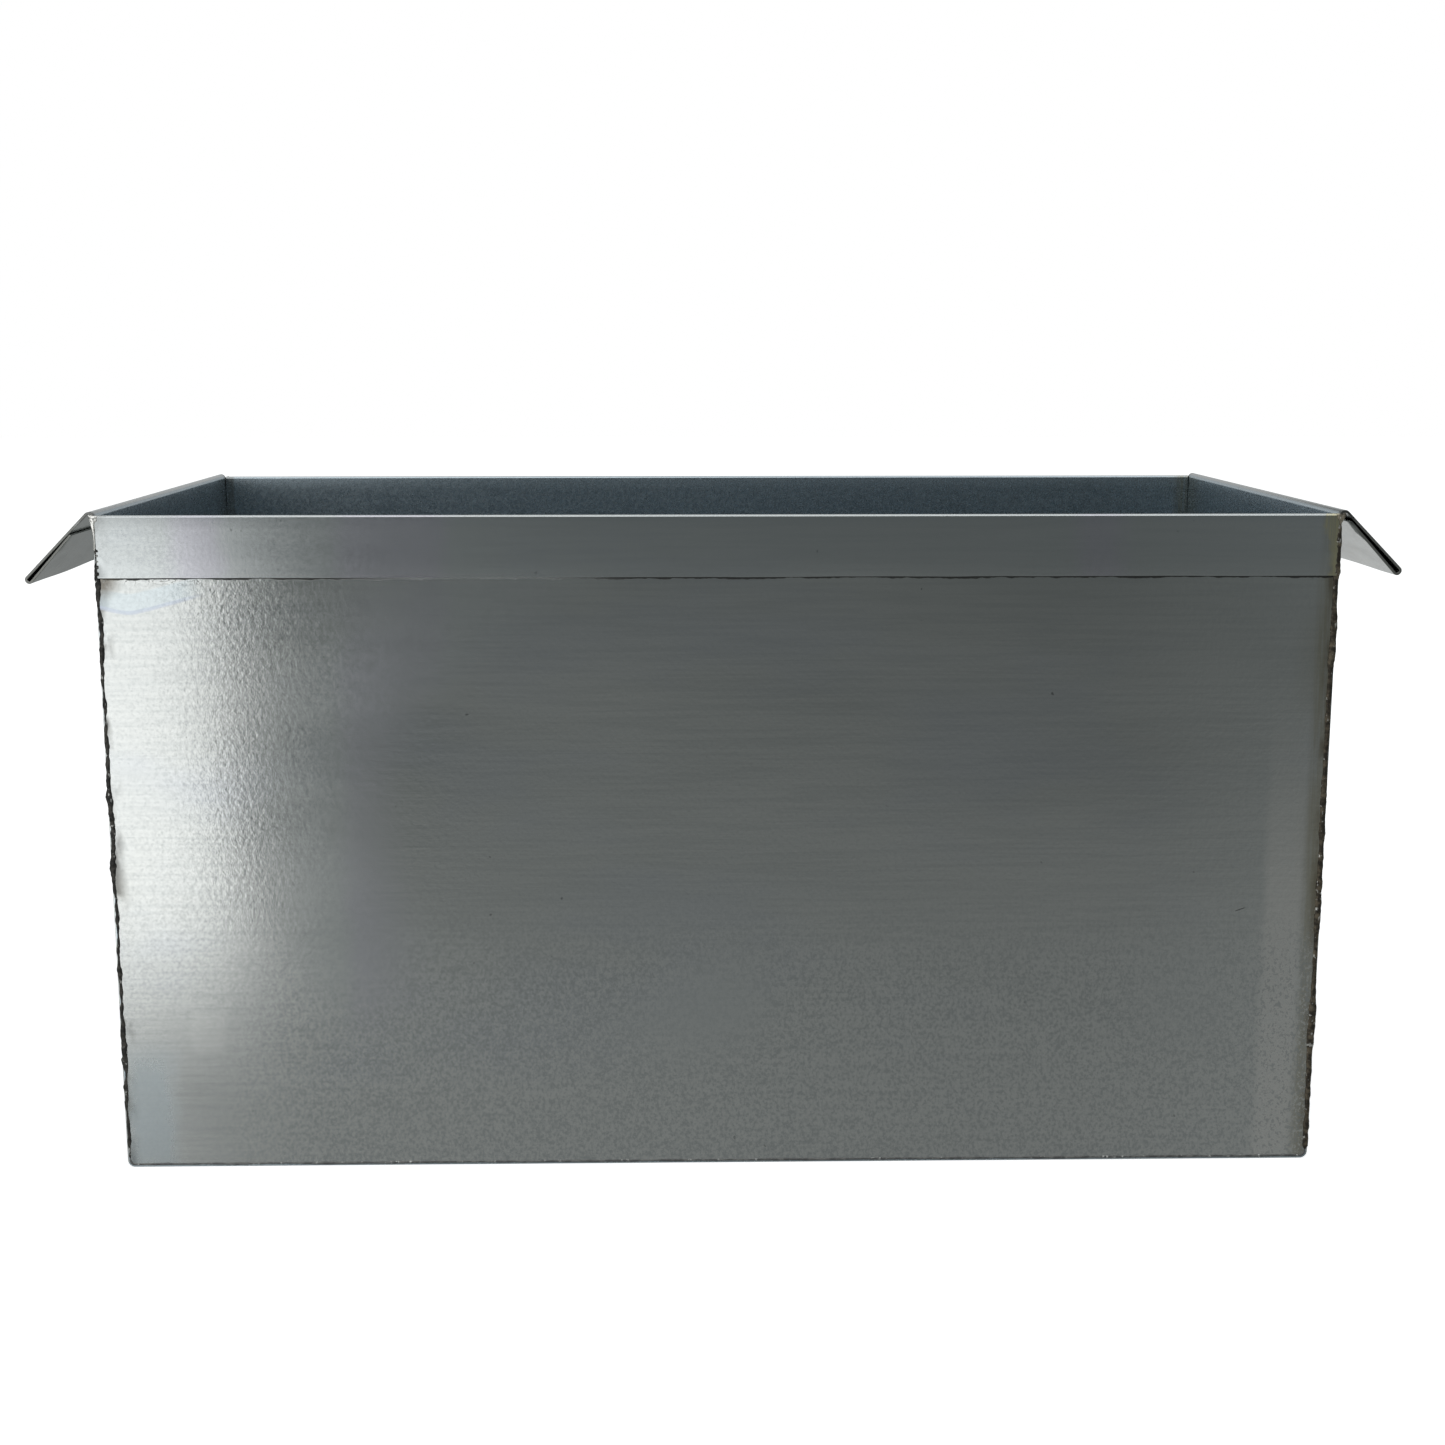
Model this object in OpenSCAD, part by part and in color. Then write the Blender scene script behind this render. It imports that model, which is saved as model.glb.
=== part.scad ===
// Open-topped livestock water trough in galvanised sheet steel.
// One strip is bent into both end walls, the floor and the two hand lips; a hemmed front panel and a
// hemmed rear panel stand inside its edges and are welded to it along the seams.
// Origin: on the ground, under the middle of the tub. X runs along the length, Y to the rear, Z up.

/* [Tub] */
// Length over the end walls at the rim
rim_length = 600; // [600:10:1000]
// Length over the end walls at the ground, a little less than the rim so that tubs nest
floor_length = 592; // [440:2:600]
// Depth over the front and rear panels
tub_depth = 330; // [220:10:600]
// Height of the hemmed rims above the ground
tub_height = 325; // [200:5:500]
// Thickness of the galvanised sheet
sheet = 1.2; // [0.8:0.1:1.6]

/* [Bends and hems] */
// Inside radius of the bends between the floor and the end walls
floor_bend = 2.4; // [1.6:0.2:6]
// Inside radius of the bends between the end walls and their lips
lip_bend = 1.5; // [1:0.1:2]
// Height of the hems folded down outside the front and rear panels
hem_height = 30; // [15:1:60]
// Air gap inside the flat hems
hem_gap = 0.3; // [0.2:0.1:0.8]

/* [Hand lips] */
// Length of the left lip, from where it would meet the end wall to its folded tip
left_lip = 49; // [45:1:70]
// Length of the right lip
right_lip = 45; // [45:1:70]
// Angle of the lips below horizontal
lip_drop = 46; // [20:1:55]
// How far the bends over the end walls stand above the rims
lip_rise = 1.6; // [0:0.2:4]
// Length of the sheet turned back under the left lip
left_return = 31; // [12:1:34]
// Length of the sheet turned back under the right lip
right_return = 35; // [12:1:36]
// Air gap inside the fold at a lip's tip
lip_gap = 2; // [0.6:0.1:2.4]
// Air gap at the free edge of the turned-back sheet
lip_gap_end = 0.3; // [0.1:0.1:0.5]

/* [Welds] */
// Gap between a panel's edge and the bent strip, closed by the weld
seam_gap = 0.2; // [0.1:0.1:0.4]
// Width of a seam weld's foot
bead_width = 2.2; // [1.6:0.2:3]
// Height of a seam weld's cap
bead_height = 0.8; // [0.4:0.1:1.2]
// Radius of the tack that ties a hem to the bend beside it
tack_radius = 1.8; // [1.2:0.1:2.4]

/* [Hidden] */

// Degrees turned by each short side of a bend
bend_step = 12;
// Share of half a fold's width that its two corners are rounded by, so that they never quite meet
fold_round = 0.9;
// Distance between the middles of the two layers in a flat hem
hem_spacing = sheet + hem_gap;
// Distance between the middles of the two layers at a lip's tip
lip_spacing = sheet + lip_gap;
// Lean of the end walls from upright, in millimetres outwards per millimetre up
wall_lean = (rim_length - floor_length) / 2 / tub_height;
wall_angle = atan(wall_lean);
// Bend radii along the middle of the sheet
floor_radius = floor_bend + sheet / 2;
lip_radius = lip_bend + sheet / 2;
// Turn from going up the end wall to going down the lip
lip_turn = 90 + lip_drop - wall_angle;
// Height at which the middle of the end wall and the middle of the lip would meet
lip_corner_z = tub_height + lip_rise - lip_radius - sheet / 2 + lip_radius * tan(lip_turn / 2);
// A seam bead is a wide foot with a narrower cap: the cap's share of the bead's width, and the foot's
// share of its height
cap_share = 0.6;
foot_share = 0.5;
// How far the cap stops short of each end of the foot
cap_inset = 0.5;
// Straight stretch above the floor bends before the floor welds hand over to the end welds
seam_lead = 1;
seam_start = sheet + floor_bend + seam_lead;
// Gap left between one weld run and the next
run_gap = 0.1;
// Top of the seam welds, just under the corner tacks
tack_gap = 0.4;
seam_end = tub_height - 2 * tack_radius - tack_gap;
// Width of the weld beside a hem's end: it covers the gap and nearly all of the strip's cut edge
bare_edge = 0.1;
hem_bead = seam_gap + sheet - bare_edge;
// How far the weld beside a hem's end runs down over the bead below the hem
hem_bead_lap = 2;
// Height of a tack's dome, the space between a tack and the hem's end, and a tack's sides
tack_dome = 0.6;
tack_space = 0.05;
tack_sides = 32;
// How far a panel's outline is drawn past its rim, where its section ends it
past_rim = 1;

galvanised = "#9aa3a2";
weld_scorch = "#3f3d38";
weld_bright = "#c9ccc8";

// Half of the outside length of the tub at a height, and of the clear inside length
function outer_half(z) = floor_length / 2 + wall_lean * z;
function inner_half(z) = outer_half(z) - sheet / cos(wall_angle);
function middle_half(z) = (outer_half(z) + inner_half(z)) / 2;
function panel_half(z) = inner_half(z) - seam_gap;

function toward(a, b) = (b - a) / norm(b - a);
function left_of(d) = [-d[1], d[0]];
function turned(v, a) = [v[0] * cos(a) - v[1] * sin(a), v[0] * sin(a) + v[1] * cos(a)];
function reversed(list) = [for (i = [len(list) - 1:-1:0]) list[i]];
function flat(corner) = [corner[0], corner[1]];

// Points of the arc that rounds corner b, on the way from a to c, with radius r
function arc(a, b, c, r) =
    let (
        d1 = toward(a, b),
        d2 = toward(b, c),
        angle = acos(d1 * d2),
        side = sign(d1[0] * d2[1] - d1[1] * d2[0]),
        centre = b - d1 * r * tan(angle / 2) + left_of(d1) * side * r,
        steps = ceil(angle / bend_step)
    )
    [for (i = [0:steps]) centre - turned(left_of(d1) * side * r, side * angle * i / steps)];

// A path given as corners [x, z, radius], with each inner corner rounded
function smooth(path) = [
    flat(path[0]),
    for (i = [1:len(path) - 2])
        each arc(flat(path[i - 1]), flat(path[i]), flat(path[i + 1]), path[i][2]),
    flat(path[len(path) - 1])
];

// A smoothed path moved sideways by s, to the left where s is positive
function beside(p, s) = [
    for (i = [0:len(p) - 1])
        let (
            d1 = toward(p[max(i - 1, 0)], p[max(i, 1)]),
            d2 = toward(p[min(i, len(p) - 2)], p[min(i + 1, len(p) - 1)]),
            n = left_of(d1 + d2)
        )
        p[i] + n * 2 * s / (n * n)
];

// Outline of a strip of sheet bent along a path
function strip(path, thickness) =
    let (p = smooth(path))
    concat(beside(p, thickness / 2), reversed(beside(p, -thickness / 2)));

// Corners of the right-hand half of the bent strip, from the middle of the floor to the lip's
// turned-back edge, along the middle of the sheet
function right_half(lip, turned_back) =
    let (
        corner = [middle_half(lip_corner_z), lip_corner_z],
        out = [cos(lip_drop), -sin(lip_drop)],
        under = [-sin(lip_drop), -cos(lip_drop)],
        tip = corner + out * (lip - sheet / 2),
        fold = tip + under * lip_spacing,
        narrowing = lip_gap - lip_gap_end,
        free = fold - out * turned_back - under * narrowing,
        fold_radius = lip_spacing / 2 * fold_round
    )
    [
        [middle_half(0), sheet / 2, floor_radius],
        [corner[0], corner[1], lip_radius],
        [tip[0], tip[1], fold_radius],
        [fold[0], fold[1], fold_radius],
        [free[0], free[1], 0]
    ];
function mirrored(path) = [for (c = path) [-c[0], c[1], c[2]]];

// A path with each of its ends pulled in by s
function shortened(path, s) =
    let (
        n = len(path) - 1,
        first = flat(path[0]) + toward(flat(path[0]), flat(path[1])) * s,
        last = flat(path[n]) - toward(flat(path[n - 1]), flat(path[n])) * s
    )
    [for (i = [0:n]) i == 0 ? [each first, 0] : i == n ? [each last, 0] : path[i]];

// Stands a drawing in X and Z upright, and gives it a depth from y towards the rear
module upright(y, depth) {
    translate([0, y + depth, 0]) rotate([90, 0, 0]) linear_extrude(depth) children();
}

// Copies a front piece to the rear
module at_rear() {
    rotate([0, 0, 180]) children();
}

module end_and_floor_sheet() {
    left = mirrored(right_half(left_lip, left_return));
    path = concat(reversed(left), right_half(right_lip, right_return));
    color(galvanised) upright(-tub_depth / 2, tub_depth) polygon(strip(path, sheet));
}

// A panel's outline between the end walls, rounded to fit the floor bends
module panel_outline() {
    low = sheet + seam_gap;
    top = tub_height + past_rim;
    corner = floor_bend - seam_gap;
    polygon(smooth([
        [-panel_half(top), top, 0],
        [-panel_half(low), low, corner],
        [panel_half(low), low, corner],
        [panel_half(top), top, 0]
    ]));
}

// The panel's section from its foot over the rolled rim to the hem's cut edge, seen along X
module panel_section() {
    middle = -tub_depth / 2 + sheet / 2;
    top = tub_height - sheet / 2;
    fold_radius = hem_spacing / 2 * fold_round;
    polygon(strip([
        [middle, 0, 0],
        [middle, top, fold_radius],
        [middle - hem_spacing, top, fold_radius],
        [middle - hem_spacing, tub_height - hem_height, 0]
    ], sheet));
}

module front_panel() {
    color(galvanised) intersection() {
        translate([-rim_length / 2, 0, 0]) rotate([90, 0, 90]) linear_extrude(rim_length) panel_section();
        upright(-tub_depth, tub_depth) panel_outline();
    }
}

// A stepped bead standing on the front faces along a seam path
module bead(path) {
    foot = bead_height * foot_share;
    upright(-tub_depth / 2 - foot, foot) polygon(strip(path, bead_width));
    upright(-tub_depth / 2 - bead_height, bead_height)
        polygon(strip(shortened(path, cap_inset), bead_width * cap_share));
}

// Middle of the seam beside an end wall at a height
function seam_x(z) = panel_half(z) + seam_gap / 2;

// The right-hand end seam: a bead under the hem's edge, and a fillet in the step beside the hem
module end_weld() {
    bead_end = tub_height - hem_height - run_gap;
    lap_start = bead_end - hem_bead_lap;
    color(weld_scorch) union() {
        bead([[seam_x(seam_start), seam_start, 0], [seam_x(bead_end), bead_end, 0]]);
        upright(-tub_depth / 2 - hem_spacing, hem_spacing) polygon([
            [panel_half(lap_start), lap_start],
            [panel_half(lap_start) + hem_bead, lap_start],
            [panel_half(seam_end) + hem_bead, seam_end],
            [panel_half(seam_end), seam_end]
        ]);
    }
}

// The seam between a panel's foot and the floor's cut edge, with its two rounded ends
module floor_weld() {
    low = sheet + seam_gap / 2;
    corner = floor_bend - seam_gap / 2;
    color(weld_scorch) bead([
        [-seam_x(seam_start), seam_start - run_gap, 0],
        [-seam_x(low), low, corner],
        [seam_x(low), low, corner],
        [seam_x(seam_start), seam_start - run_gap, 0]
    ]);
}

// A blob of weld in the corner between a hem's end and the bend over the end wall
module tack() {
    z = tub_height - tack_radius;
    color(weld_bright) translate([panel_half(z) + tack_radius + tack_space, -tub_depth / 2, z])
        rotate([90, 0, 0]) {
            cylinder(h = hem_spacing, r = tack_radius, $fn = tack_sides);
            translate([0, 0, hem_spacing])
                cylinder(h = tack_dome, r1 = tack_radius, r2 = tack_radius / 2, $fn = tack_sides);
        }
}

end_and_floor_sheet();
front_panel();
at_rear() front_panel();  // rear_panel
mirror([1, 0, 0]) end_weld();  // front_left_weld
end_weld();  // front_right_weld
floor_weld();  // front_floor_weld
at_rear() end_weld();  // rear_left_weld
at_rear() mirror([1, 0, 0]) end_weld();  // rear_right_weld
at_rear() floor_weld();  // rear_floor_weld
mirror([1, 0, 0]) tack();  // front_left_tack
tack();  // front_right_tack
at_rear() tack();  // rear_left_tack
at_rear() mirror([1, 0, 0]) tack();  // rear_right_tack
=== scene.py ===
import math

import bmesh
import bpy
from mathutils import Euler, Matrix, Vector, noise


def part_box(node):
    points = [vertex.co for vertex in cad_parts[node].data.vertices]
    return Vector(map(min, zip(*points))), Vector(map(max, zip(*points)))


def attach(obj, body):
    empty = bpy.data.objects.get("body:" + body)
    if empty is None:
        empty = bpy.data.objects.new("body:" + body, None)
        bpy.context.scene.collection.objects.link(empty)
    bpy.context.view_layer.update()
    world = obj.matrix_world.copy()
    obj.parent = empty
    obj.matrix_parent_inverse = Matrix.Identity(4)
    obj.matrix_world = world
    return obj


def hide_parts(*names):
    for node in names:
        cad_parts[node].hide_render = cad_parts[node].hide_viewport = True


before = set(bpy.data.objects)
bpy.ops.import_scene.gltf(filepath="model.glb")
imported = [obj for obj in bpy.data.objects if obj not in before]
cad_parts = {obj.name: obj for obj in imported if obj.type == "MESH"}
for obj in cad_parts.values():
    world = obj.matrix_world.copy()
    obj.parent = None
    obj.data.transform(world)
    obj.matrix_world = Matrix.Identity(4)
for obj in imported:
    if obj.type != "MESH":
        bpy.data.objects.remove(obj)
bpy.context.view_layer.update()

MM = 0.001

# ---------------------------------------------------------------- driving sizes

strip_low, strip_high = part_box("end_and_floor_sheet")
panel_low, panel_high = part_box("front_panel")

SHEET = 1.2 * MM
HALF_DEPTH = strip_high.y
RIM_Z = panel_high.z
RIM_HALF = panel_high.x                 # half the panel's length at the rim
LEAN = 4 * MM / RIM_Z                   # how much longer half the tub gets per metre up
SEAM_GAP = 0.2 * MM
FLOOR_BEND = 2.4 * MM
LIP_BEND = 1.5 * MM
HEM_HEIGHT = 30 * MM
HEM_FOOT = RIM_Z - HEM_HEIGHT
HEM_GAP = 0.3 * MM
LIP_DROP = math.radians(46)
LIP_RISE = strip_high.z - RIM_Z
# Each lip: its length, the sheet turned back under it, and the gap at its tip and at the free edge
LEFT_LIP = (49 * MM, 31 * MM, 1.7 * MM, 0.15 * MM)
RIGHT_LIP = (45 * MM, 35 * MM, 2.1 * MM, 0.8 * MM)
FOLD_ROUND = 0.9                        # rounding of a flat fold, as a share of half its spacing

# How far each flat stands out of true at most, and how uneven a hem's cut edge is
LIP_WAVE = 0.5 * MM
WALL_WAVE = 0.6 * MM
FLOOR_WAVE = 0.8 * MM
PANEL_WAVE = 0.4 * MM
EDGE_RAGGED = 0.22 * MM

STEP = 7 * MM                           # spacing of the mesh on flat stretches
TURN_STEP = math.radians(8)             # spacing of the mesh in bends
CUT_SOFT = 0.15 * MM                    # rounding left by the shears on a cut edge
CUT_SHARE = 0.72                        # share of the sheet's thickness left at that edge

BEAD_STEP = 0.7 * MM                    # spacing of a bead's cross-sections
BEAD_SIDES = 8
BURIED = 0.25 * MM                      # how deep a bead's foot goes into the sheet
RIPPLE = 1.5 * MM                       # half the spacing of a bead's ripples
# Each side's seam: width, height, unevenness and sideways wander
LEFT_SEAM = (2.1 * MM, 0.5 * MM, 1.5, 0.6 * MM)
RIGHT_SEAM = (2.9 * MM, 0.7 * MM, 0.75, 0.25 * MM)
FLOOR_SEAM = (1.3 * MM, 0.3 * MM, 0.5, 0.1 * MM)
TACK_SIZE = (1.9 * MM, 1.15 * MM, 2.0 * MM)     # half its width, its depth and its height
LEFT_TAIL, RIGHT_TAIL = 17 * MM, 4 * MM         # how far each side's tacks are drawn out downwards

CAMERA_PLACE = (-0.0242, -1.2724, 0.4047)
LOOK_DOWN = math.radians(9.275)
LOOK_RIGHT = math.radians(1.296)
LENS, SENSOR = 57.45, 36                # in millimetres

STAGE_HALF, STAGE_CELLS = 9.0, 6        # half the floor's side, and how many cells it has along it
STAGE_DROP = 0.3 * MM                   # keeps the floor's face apart from the trough's foot

FOOT_Z = SHEET + SEAM_GAP
FOOT_RADIUS = FLOOR_BEND - SEAM_GAP
WALL_ANGLE = math.atan(LEAN)


def inner_half(z):
    """Half of the clear length between the end walls at a height."""
    return RIM_HALF + SEAM_GAP - (RIM_Z - z) * LEAN


def middle_half(z):
    return inner_half(z) + SHEET / math.cos(WALL_ANGLE) / 2


def seam_half(z):
    return inner_half(z) - SEAM_GAP / 2


def smooth(low, high, value):
    t = min(max((value - low) / (high - low), 0), 1)
    return t * t * (3 - 2 * t)


def wave(a, b, c=0.0):
    """Smooth noise from about -1 to 1 that is the same on every run."""
    return noise.noise(Vector((a, b, c))) * 1.6


# ---------------------------------------------------------------- mesh code

def perpendicular(direction):
    return Vector((-direction.y, direction.x))


def divided(start, end, step=STEP):
    """Points from start up to, and not including, end."""
    count = max(1, math.ceil((end - start).length / step))
    return [start.lerp(end, i / count) for i in range(count)]


def rounded(corners):
    """Points along a path of (a, b, radius) corners, with its inner corners rounded."""
    flat = [Vector(corner[:2]) for corner in corners]
    points, reached = [], flat[0]
    for before, corner, after, given in zip(flat, flat[1:], flat[2:], corners[1:]):
        radius = given[2]
        way_in, way_out = (corner - before).normalized(), (after - corner).normalized()
        angle = math.acos(max(-1, min(1, way_in.dot(way_out))))
        side = math.copysign(1, way_in.cross(way_out))
        centre = corner - way_in * radius * math.tan(angle / 2) + perpendicular(way_in) * side * radius
        spoke = perpendicular(way_in) * -side * radius
        count = max(2, math.ceil(angle / TURN_STEP))
        arc = [centre + Matrix.Rotation(side * angle * i / count, 2) @ spoke for i in range(count + 1)]
        points += divided(reached, arc[0]) + arc[:-1]
        reached = arc[-1]
    return points + divided(reached, flat[-1]) + [flat[-1]]


def path_normals(points):
    normals = []
    for i, point in enumerate(points):
        before, after = points[max(i - 1, 0)], points[min(i + 1, len(points) - 1)]
        way_in = (point - before).normalized() if i else (after - point).normalized()
        way_out = (after - point).normalized() if i < len(points) - 1 else way_in
        mitre = perpendicular(way_in + way_out)
        normals.append(mitre * 2 / mitre.length_squared)
    return normals


def soft_cut(places, low_end, high_end):
    """(place, thickness share) pairs with a thinner one at each cut end."""
    inner = [(p, 1) for p in places if low_end + CUT_SOFT * 2 < p < high_end - CUT_SOFT * 2]
    return (
        [(low_end, CUT_SHARE), (low_end + CUT_SOFT, 1)]
        + inner
        + [(high_end - CUT_SOFT, 1), (high_end, CUT_SHARE)]
    )


def make_object(name, verts, faces, smooth_below=math.radians(40)):
    mesh = bpy.data.meshes.new(name)
    mesh.from_pydata([tuple(v) for v in verts], [], faces)
    shape = bmesh.new()
    shape.from_mesh(mesh)
    if shape.calc_volume(signed=True) < 0:
        bmesh.ops.reverse_faces(shape, faces=shape.faces)
    shape.to_mesh(mesh)
    shape.free()
    mesh.polygons.foreach_set("use_smooth", [True] * len(mesh.polygons))
    mesh.set_sharp_from_angle(angle=smooth_below)
    made = bpy.data.objects.new(name, mesh)
    bpy.context.scene.collection.objects.link(made)
    return made


def folded_sheet(name, points, stations, place):
    """One closed piece of bent sheet.

    points is the path through the bends, along the middle of the sheet. stations are (place, share)
    pairs over its width. place(point, offset, station, tail) gives a vertex, where offset is the step
    from the middle to a face and tail is how far the point is from the path's far end."""
    normals = path_normals(points)
    lengths = [0]
    for a, b in zip(points, points[1:]):
        lengths.append(lengths[-1] + (b - a).length)
    total, last_row, last_column = lengths[-1], len(points) - 1, len(stations) - 1
    rows = [CUT_SHARE if i in (0, last_row) else 1 for i in range(len(points))]
    verts = []
    for point, normal, length, row_share in zip(points, normals, lengths, rows):
        for station, share in stations:
            half = SHEET / 2 * min(share, row_share)
            for sign in (1, -1):
                verts.append(place(point, normal * half * sign, station, total - length))

    def at(i, j, side):
        return (i * len(stations) + j) * 2 + side

    faces = []
    for i in range(last_row):
        for j in range(last_column):
            faces.append((at(i, j, 0), at(i, j + 1, 0), at(i + 1, j + 1, 0), at(i + 1, j, 0)))
            faces.append((at(i, j, 1), at(i + 1, j, 1), at(i + 1, j + 1, 1), at(i, j + 1, 1)))
        for j, turn in ((0, 1), (last_column, -1)):
            faces.append((at(i, j, 0), at(i + 1, j, 0), at(i + 1, j, 1), at(i, j, 1))[::turn])
    for j in range(last_column):
        for i, turn in ((0, 1), (last_row, -1)):
            faces.append((at(i, j, 1), at(i, j + 1, 1), at(i, j + 1, 0), at(i, j, 0))[::turn])
    return make_object(name, verts, faces)


# ---------------------------------------------------------------- the three sheets

def lip_corners(length, turned_back, gap, gap_end):
    """Right-hand half of the bent strip, from the floor to the lip's turned-back edge."""
    radius = LIP_BEND + SHEET / 2
    turn = math.pi / 2 + LIP_DROP - WALL_ANGLE
    corner_z = RIM_Z + LIP_RISE - radius - SHEET / 2 + radius * math.tan(turn / 2)
    corner = Vector((middle_half(corner_z), corner_z))
    out = Vector((math.cos(LIP_DROP), -math.sin(LIP_DROP)))
    under = Vector((-math.sin(LIP_DROP), -math.cos(LIP_DROP)))
    spacing = SHEET + gap
    tip = corner + out * (length - SHEET / 2)
    fold = tip + under * spacing
    free = fold - out * turned_back - under * (gap - gap_end)
    fold_radius = spacing / 2 * FOLD_ROUND
    return [
        (middle_half(0), SHEET / 2, FLOOR_BEND + SHEET / 2),
        (corner.x, corner.y, radius),
        (tip.x, tip.y, fold_radius),
        (fold.x, fold.y, fold_radius),
        (free.x, free.y, 0),
    ]


def place_strip(point, offset, y, _tail):
    """A point of the bent strip, with the slight waves that folding leaves in its flats."""
    x, z = point + offset
    side = math.copysign(1, point.x)
    inside = 1 - (y / HALF_DEPTH) ** 4
    wall = smooth(0.02, 0.1, z) * (1 - smooth(0.24, 0.315, z)) * smooth(0.28, 0.292, abs(point.x))
    floor = (1 - smooth(0, 0.01, point.y)) * (1 - smooth(0.2, 0.285, abs(point.x)))
    lip = smooth(0.302, 0.326, abs(point.x))
    x += side * WALL_WAVE * wall * inside * wave(side * 3, y * 9, z * 8)
    z += FLOOR_WAVE * floor * inside * (0.6 + 0.4 * wave(x * 7, y * 9, 5))
    z += LIP_WAVE * lip * wave(side * 8, y * 14, 2)
    return Vector((x, y, z))


def bent_strip():
    right, left = lip_corners(*RIGHT_LIP), lip_corners(*LEFT_LIP)
    points = rounded([(-x, z, r) for x, z, r in reversed(left)] + right)
    count = round(2 * HALF_DEPTH / STEP)
    ys = [-HALF_DEPTH + 2 * HALF_DEPTH * i / count for i in range(count + 1)]
    return folded_sheet("bent_strip", points, soft_cut(ys, -HALF_DEPTH, HALF_DEPTH), place_strip)


def panel_half(z):
    """Half of a panel's length at a height, narrowing round the floor bends."""
    drop = max(0.0, FOOT_RADIUS - (z - FOOT_Z))
    rounding = FOOT_RADIUS - math.sqrt(max(0.0, FOOT_RADIUS ** 2 - drop ** 2))
    return inner_half(z) - SEAM_GAP - rounding


def panel(name, facing, seed):
    """A front or rear panel: facing is -1 for the front and 1 for the rear."""
    middle = HALF_DEPTH - SHEET / 2
    spacing = SHEET + HEM_GAP
    top = RIM_Z - SHEET / 2
    fold_radius = spacing / 2 * FOLD_ROUND
    turns = [math.pi / 2 * i / 8 for i in range(9)]
    foot = [Vector((middle, FOOT_Z + FOOT_RADIUS * (1 - math.cos(t)))) for t in turns]
    rest = rounded([
        (middle, foot[-1].y, 0),
        (middle, top, fold_radius),
        (middle + spacing, top, fold_radius),
        (middle + spacing, HEM_FOOT, 0),
    ])
    count = round(2 * RIM_HALF / STEP)
    shares = [-1 + 2 * i / count for i in range(count + 1)]
    soft = CUT_SOFT / RIM_HALF
    stations = (
        [(-1, CUT_SHARE), (-1 + soft, 1)]
        + [(share, 1) for share in shares[1:-1]]
        + [(1 - soft, 1), (1, CUT_SHARE)]
    )

    def place(point, offset, share, tail):
        y, z = point + offset
        x = share * panel_half(max(z, FOOT_Z))
        inside = (1 - share ** 4) * smooth(0.0, 0.09, z)
        free = 1 - 0.75 * smooth(RIM_Z - 3 * HEM_HEIGHT, RIM_Z, z)
        y += PANEL_WAVE * inside * free * wave(x * 6, z * 6, seed)
        ragged = (1 - smooth(0, 4 * MM, tail)) * (1 - share ** 8)
        z += EDGE_RAGGED * ragged * (wave(x * 30, seed, 1) + 0.6 * wave(x * 160, seed, 2)) * 0.6
        return Vector((x, y * facing, z))

    return folded_sheet(name, foot[:-1] + rest, stations, place)


# ---------------------------------------------------------------- weld metal

def along(corners, step):
    """Evenly spaced points with directions along a rounded path."""
    points = rounded(corners)
    places = []
    for a, b in zip(points, points[1:]):
        count = max(1, math.ceil((b - a).length / step))
        places += [a.lerp(b, i / count) for i in range(count)]
    return places + [points[-1]]


def bead(name, corners, facing, seam, seed, hem_from=None):
    """A weld run on the outer face along an (x, z) path: an uneven, rippled low mound with closed ends.

    seam is its (width, height, unevenness, wander). It steps out over the hem above hem_from."""
    width, height, ragged, wander = seam
    places = along(corners, BEAD_STEP)
    verts, faces = [], []
    distance = 0
    for i, place in enumerate(places):
        before, after = places[max(i - 1, 0)], places[min(i + 1, len(places) - 1)]
        direction = (after - before).normalized()
        across = perpendicular(direction)
        distance += (place - places[max(i - 1, 0)]).length
        end = min(1.0, 0.25 + min(i, len(places) - 1 - i) / 3)
        swell = 1 + ragged * (0.3 * wave(distance * 40, seed) + 0.3 * wave(distance * 150, seed, 4))
        phase = distance / RIPPLE * math.pi + 2 * wave(distance * 90, seed, 9)
        ripple = 1 + 0.22 * ragged * math.sin(phase)
        half = width / 2 * max(0.35, swell) * end
        rise = height * max(0.3, swell * ripple) * end
        aside = wander * (wave(distance * 45, seed, 7) + 0.5 * wave(distance * 170, seed, 7))
        base = HALF_DEPTH
        if hem_from is not None:
            base += (SHEET + HEM_GAP) * 0.6 * smooth(hem_from - 1 * MM, hem_from + 1.5 * MM, place.y)
        for k in range(BEAD_SIDES + 1):
            turn = math.pi * k / BEAD_SIDES
            lump = 1 + 0.18 * ragged * wave(distance * 420, k * 1.7, seed)
            spot = place + across * (half * math.cos(turn) * lump + aside)
            y = facing * (base - BURIED + (BURIED + rise * lump) * math.sin(turn))
            verts.append(Vector((spot.x, y, spot.y)))
    ring = BEAD_SIDES + 1
    for i in range(len(places) - 1):
        for k in range(BEAD_SIDES):
            a, b = i * ring + k, (i + 1) * ring + k
            faces.append((a, b, b + 1, a + 1))
        faces.append((i * ring + BEAD_SIDES, (i + 1) * ring + BEAD_SIDES, (i + 1) * ring, i * ring))
    faces.append(tuple(range(ring)))
    faces.append(tuple(reversed(range((len(places) - 1) * ring, len(places) * ring))))
    if facing > 0:
        faces = [face[::-1] for face in faces]
    return make_object(name, verts, faces, math.radians(75))


def end_seam(name, side, facing, seam, seed):
    """The weld up one corner, from just above the floor bend to the tack."""
    low, high = SHEET + FLOOR_BEND + 1 * MM, RIM_Z - 4 * MM
    corners = [(side * seam_half(low), low, 0), (side * seam_half(high), high, 0)]
    return bead(name, corners, facing, seam, seed, hem_from=HEM_FOOT)


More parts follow.
